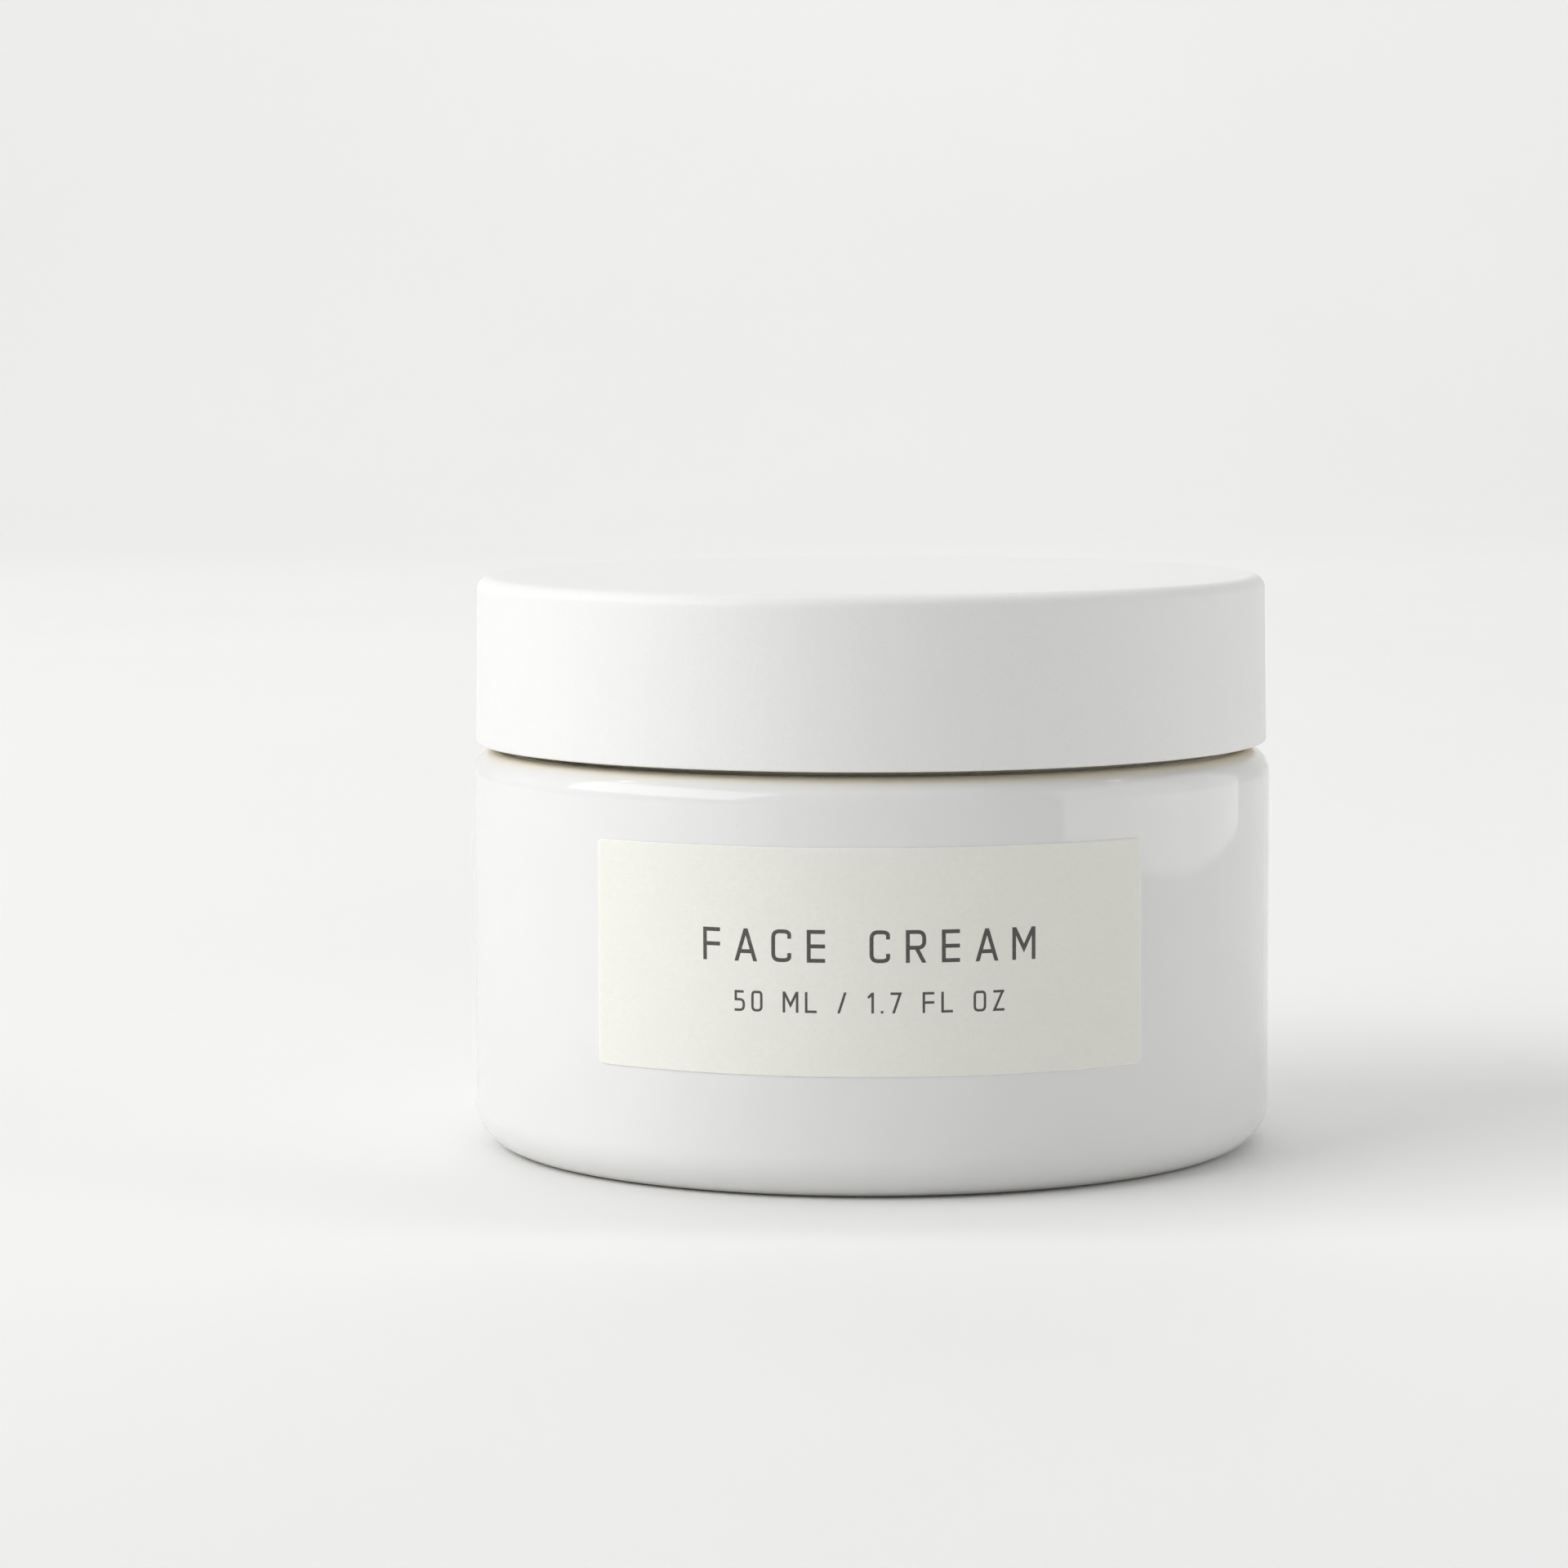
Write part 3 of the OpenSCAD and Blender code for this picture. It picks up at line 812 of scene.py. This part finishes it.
def dish():
    """Dished sealing disc, with its tongue."""
    r, z0 = disc_high.x, disc_low.z
    rim_low, rim_high = z0 + DISH, z0 + DISH + 0.9 * MM
    dish_r, thick = neck_r - NECK_WALL - 0.4 * MM, 0.8 * MM
    well_r = dish_r - thick
    outline = [(0, z0), (dish_r - 2 * MM, z0)]
    outline += arc(dish_r - 0.6 * MM, z0 + 0.6 * MM, 0.6 * MM, -90, 0, 6)
    outline += [(dish_r, rim_low - 0.05 * MM), (dish_r + 0.05 * MM, rim_low)]
    outline += arc(r - 0.2 * MM, rim_low + 0.2 * MM, 0.2 * MM, -90, 0, 4)
    outline += arc(r - 0.3 * MM, rim_high - 0.3 * MM, 0.3 * MM, 0, 90, 5)
    outline += arc(well_r + 0.2 * MM, rim_high - 0.2 * MM, 0.2 * MM, 90, 180, 4)
    outline += arc(well_r - 0.3 * MM, z0 + thick + 0.3 * MM, 0.3 * MM, 0, -90, 5)
    outline += [(well_r - 2 * MM, z0 + thick), (0, z0 + thick)]
    piece = turned("sealing_dish", outline)
    piece.data.materials.append(moulded("clear_white_disc", rgb(0.76, 0.77, 0.77),
                                        rgb(0.80, 0.81, 0.81), 0.3, 0.4))
    tongue = tongue_piece(z0 + thick)
    tongue.data.materials.append(piece.data.materials[0])
    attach(tongue, "disc")
    return stand_for(piece, "sealing_disc", "disc")


def tongue_piece(floor_z):
    """Tongue to lift the disc by: a plate on a thin root, with a round end and grips."""
    half, long, thick = 7 * MM, 9 * MM, 0.7 * MM
    end = 4 * MM
    back = 2 * MM
    low = floor_z + 0.6 * MM
    outline = [(-half, back), (half, back)]
    outline += [(half - end + end * math.cos(a), back - long + end - end * math.sin(a))
                for a in (math.radians(90 * i / 12) for i in range(13))]
    outline += [(-half + end - end * math.sin(a), back - long + end - end * math.cos(a))
                for a in (math.radians(90 * i / 12) for i in range(13))]
    work = bmesh.new()
    face = work.faces.new([work.verts.new((x, y, low)) for x, y in outline])
    lifted = bmesh.ops.extrude_face_region(work, geom=[face])
    for v in lifted["geom"]:
        if isinstance(v, bmesh.types.BMVert):
            v.co.z += thick
    slabs = [((-half, half), (back - 1.4 * MM, back), (floor_z - 0.1 * MM, low + 0.1 * MM))]
    for k in range(3):
        y = back - long + 2.2 * MM + k * 1.1 * MM
        slabs.append(((-3 * MM, 3 * MM), (y, y + 0.5 * MM),
                      (low + thick - 0.1 * MM, low + thick + 0.25 * MM)))
    for (x0, x1), (y0, y1), (z0, z1) in slabs:
        size = Matrix.Diagonal((x1 - x0, y1 - y0, z1 - z0, 1))
        middle = Matrix.Translation(((x0 + x1) / 2, (y0 + y1) / 2, (z0 + z1) / 2))
        bmesh.ops.create_cube(work, size=1, matrix=middle @ size)
    bmesh.ops.recalc_face_normals(work, faces=work.faces)
    mesh = bpy.data.meshes.new("lift_tongue")
    work.to_mesh(mesh)
    work.free()
    piece = bpy.data.objects.new("lift_tongue", mesh)
    bpy.context.scene.collection.objects.link(piece)
    soft = piece.modifiers.new("soft_edges", "BEVEL")
    soft.width = 0.1 * MM
    soft.segments = 3
    soft.limit_method = "ANGLE"
    soft.harden_normals = True
    mesh.polygons.foreach_set("use_smooth", [True] * len(mesh.polygons))
    return piece


# ---------------------------------------------------------------- stage

def sweep():
    """Floor that curves up into a backdrop behind the jar."""
    near, far, bend, top, half = -0.9, 1.1, 0.7, 2.2, 1.2
    profile = [(near, 0), (far, 0)]
    profile += [(far + bend * math.sin(a), bend - bend * math.cos(a))
                for a in (math.radians(90 * i / 24) for i in range(1, 25))]
    profile.append((far + bend, top))
    verts = [(x, y, z) for y, z in profile for x in (-half, half)]
    faces = [(2 * i, 2 * i + 1, 2 * i + 3, 2 * i + 2) for i in range(len(profile) - 1)]
    piece = finish_mesh("pale_floor", verts, faces)
    piece.data.materials.append(plain_floor())


def around(azimuth, elevation, distance):
    """A place seen from the jar. Azimuth 0 is the front and -90 the left."""
    a, e = math.radians(azimuth), math.radians(elevation)
    out = distance * math.cos(e)
    return Vector((out * math.sin(a), -out * math.cos(a),
                   jar_h / 2 + distance * math.sin(e)))


def softbox(name, place, aim, width, height, power):
    """A soft rectangular light that looks at a point."""
    data = bpy.data.lights.new(name, "AREA")
    data.shape = "RECTANGLE"
    data.size, data.size_y = width, height
    data.energy = power
    light = bpy.data.objects.new(name, data)
    light.location = place
    light.rotation_euler = (Vector(aim) - Vector(place)).to_track_quat("-Z", "Y").to_euler()
    bpy.context.scene.collection.objects.link(light)
    return light


def studio():
    """Large soft key from the left, a small fill from the right, and a lit backdrop.
    The three lights called gleam show only in the gloss, and key, fill and low don't."""
    middle = (0, 0, jar_h / 2)
    key = softbox("key", around(-68, 34, 1.0), middle, 1.1, 0.6, 9.1)
    gleam = softbox("key_gleam", around(-68, 34, 0.97), middle, 1.07, 0.58, 4.2)
    fill = softbox("fill", around(90, 18, 0.5), middle, 0.35, 0.3, 0.76)
    softbox("front_top", (0, -1.0, 1.4), (0, -0.6, 0), 1.6, 0.8, 1.8)
    low = softbox("front_low", (0.05, -0.9, 0.25), middle, 0.8, 0.2, 0.6)
    softbox("backdrop", (0, 0.5, 1.6), (0, 1.8, 0.5), 2.5, 0.6, 27.2)
    window = softbox("window_gleam", (0.2, -0.066, 0.1), (0, -0.066, 0.1), 0.173, 0.19, 0.10)
    window_back = softbox("window_back_gleam", (0.2, 0.077, 0.1), (0, 0.077, 0.1), 0.112, 0.19,
                          0.045)
    for light in (gleam, window, window_back):
        light.visible_diffuse = False
    key.visible_glossy = fill.visible_glossy = low.visible_glossy = False
    room()


def room():
    """A dim room for soft light, which is pale where it is reflected or seen."""
    world = bpy.data.worlds.new("pale_room")
    world.use_nodes = True
    tree = world.node_tree
    rays = tree.nodes.new("ShaderNodeLightPath")
    total = 0.06
    for ray, share in (("Is Glossy Ray", 0.64), ("Is Camera Ray", 0.79)):
        step = tree.nodes.new("ShaderNodeMath")
        step.operation = "MULTIPLY_ADD"
        tree.links.new(rays.outputs[ray], step.inputs[0])
        step.inputs[1].default_value = share
        if isinstance(total, float):
            step.inputs[2].default_value = total
        else:
            tree.links.new(total, step.inputs[2])
        total = step.outputs[0]
    tree.links.new(total, tree.nodes["Background"].inputs["Strength"])
    tree.nodes["Background"].inputs["Color"].default_value = (1, 1, 1, 1)
    bpy.context.scene.world = world


def camera():
    """Camera in front, a little above the lid, looking slightly down."""
    data = bpy.data.cameras.new("camera")
    data.lens = 118.4
    data.sensor_width = 36
    eye = bpy.data.objects.new("camera", data)
    down, left, roll = math.radians(5.191), math.radians(0.967), math.radians(-0.2)
    turn = (Matrix.Rotation(left, 4, "Z") @ Matrix.Rotation(math.pi / 2 - down, 4, "X")
            @ Matrix.Rotation(roll, 4, "Z"))
    away, above = 12.94 * jar_r, 2.072 * jar_r
    around_jar = Matrix.Rotation(math.radians(0.26), 4, "Z")
    eye.matrix_world = around_jar @ Matrix.Translation((0, -away, above)) @ turn
    bpy.context.scene.collection.objects.link(eye)
    bpy.context.scene.camera = eye


glazed_jar()
label_piece()
label_print()
base_sheet()
lid_skin()
lid_inner_cap()
liner()
collar()
cup()
ring()
dish()
sweep()
studio()
camera()
bpy.context.scene.view_settings.view_transform = "Standard"
bpy.context.view_layer.update()
